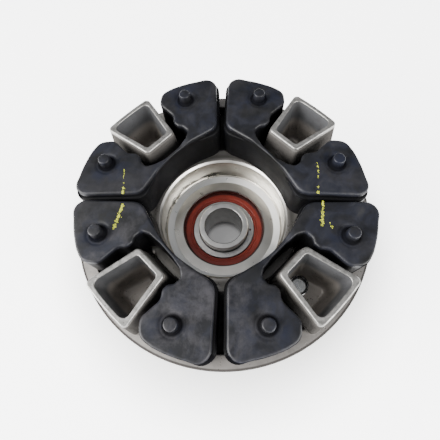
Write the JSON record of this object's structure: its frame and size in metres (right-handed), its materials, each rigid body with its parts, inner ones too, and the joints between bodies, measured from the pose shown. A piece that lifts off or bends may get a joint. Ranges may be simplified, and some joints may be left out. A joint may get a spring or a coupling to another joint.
{
  "type": "cush drive jaw coupling half",
  "caption": "Round flanged coupling half with open-topped jaws, double-lobed rubber dampers between them, and a sealed ball bearing with an axle sleeve.",
  "frame": {"origin": "on the axle line, in the end face of the outboard boss, which the coupling stands on", "axes": "+Z along the axle line, towards the wheel hub; the jaws lie at 45, 135, 225 and 315 degrees from +X"},
  "size_m": [0.1336, 0.1336, 0.0677],
  "materials": {
    "cast_aluminium": "cast, satin, machined in the socket",
    "black_rubber": "satin",
    "red_rubber": "satin",
    "bearing_steel": "ground",
    "sleeve_steel": "turned",
    "zinc": "zinc plated",
    "cage_plastic": "moulded"
  },
  "bodies": {
    "carrier": {"sprocket_carrier": "cast_aluminium", "bearing_outer_ring": "bearing_steel", "bearing_seal_inboard": "red_rubber", "bearing_seal_outboard": "red_rubber", "circlip": "bearing_steel", "grease_seal": "black_rubber", "garter_spring": "bearing_steel", "sprocket_stud_1": "zinc", "sprocket_stud_2": "zinc", "sprocket_stud_3": "zinc", "sprocket_stud_4": "zinc", "sprocket_stud_5": "zinc", "sprocket_stud_6": "zinc"},
    "sleeve": {"axle_sleeve": "sleeve_steel", "bearing_inner_ring": "bearing_steel"},
    "cage": {"bearing_cage": "cage_plastic", "bearing_ball_1": "bearing_steel", "bearing_ball_2": "bearing_steel", "bearing_ball_3": "bearing_steel", "bearing_ball_4": "bearing_steel", "bearing_ball_5": "bearing_steel", "bearing_ball_6": "bearing_steel", "bearing_ball_7": "bearing_steel", "bearing_ball_8": "bearing_steel", "bearing_ball_9": "bearing_steel"},
    "damper_1": {"damper_1": "black_rubber"},
    "damper_2": {"damper_2": "black_rubber"},
    "damper_3": {"damper_3": "black_rubber"},
    "damper_4": {"damper_4": "black_rubber"}
  },
  "joints": [
    {"name": "sleeve_spin", "type": "hinge", "parent": "carrier", "child": "sleeve", "pos_m": [0, 0, 0.0179], "axis": [0, 0, 1], "continuous": true},
    {"name": "cage_spin", "type": "hinge", "parent": "carrier", "child": "cage", "pos_m": [0, 0, 0.0179], "axis": [0, 0, 1], "continuous": true},
    {"name": "damper_1_lift", "type": "slide", "parent": "carrier", "child": "damper_1", "axis": [0, 0, 1], "range_m": [0, 0.025]},
    {"name": "damper_2_lift", "type": "slide", "parent": "carrier", "child": "damper_2", "axis": [0, 0, 1], "range_m": [0, 0.025]},
    {"name": "damper_3_lift", "type": "slide", "parent": "carrier", "child": "damper_3", "axis": [0, 0, 1], "range_m": [0, 0.025]},
    {"name": "damper_4_lift", "type": "slide", "parent": "carrier", "child": "damper_4", "axis": [0, 0, 1], "range_m": [0, 0.025]}
  ],
  "couplings": [
    {"joint": "cage_spin", "follows": "sleeve_spin", "ratio": 0.398}
  ]
}
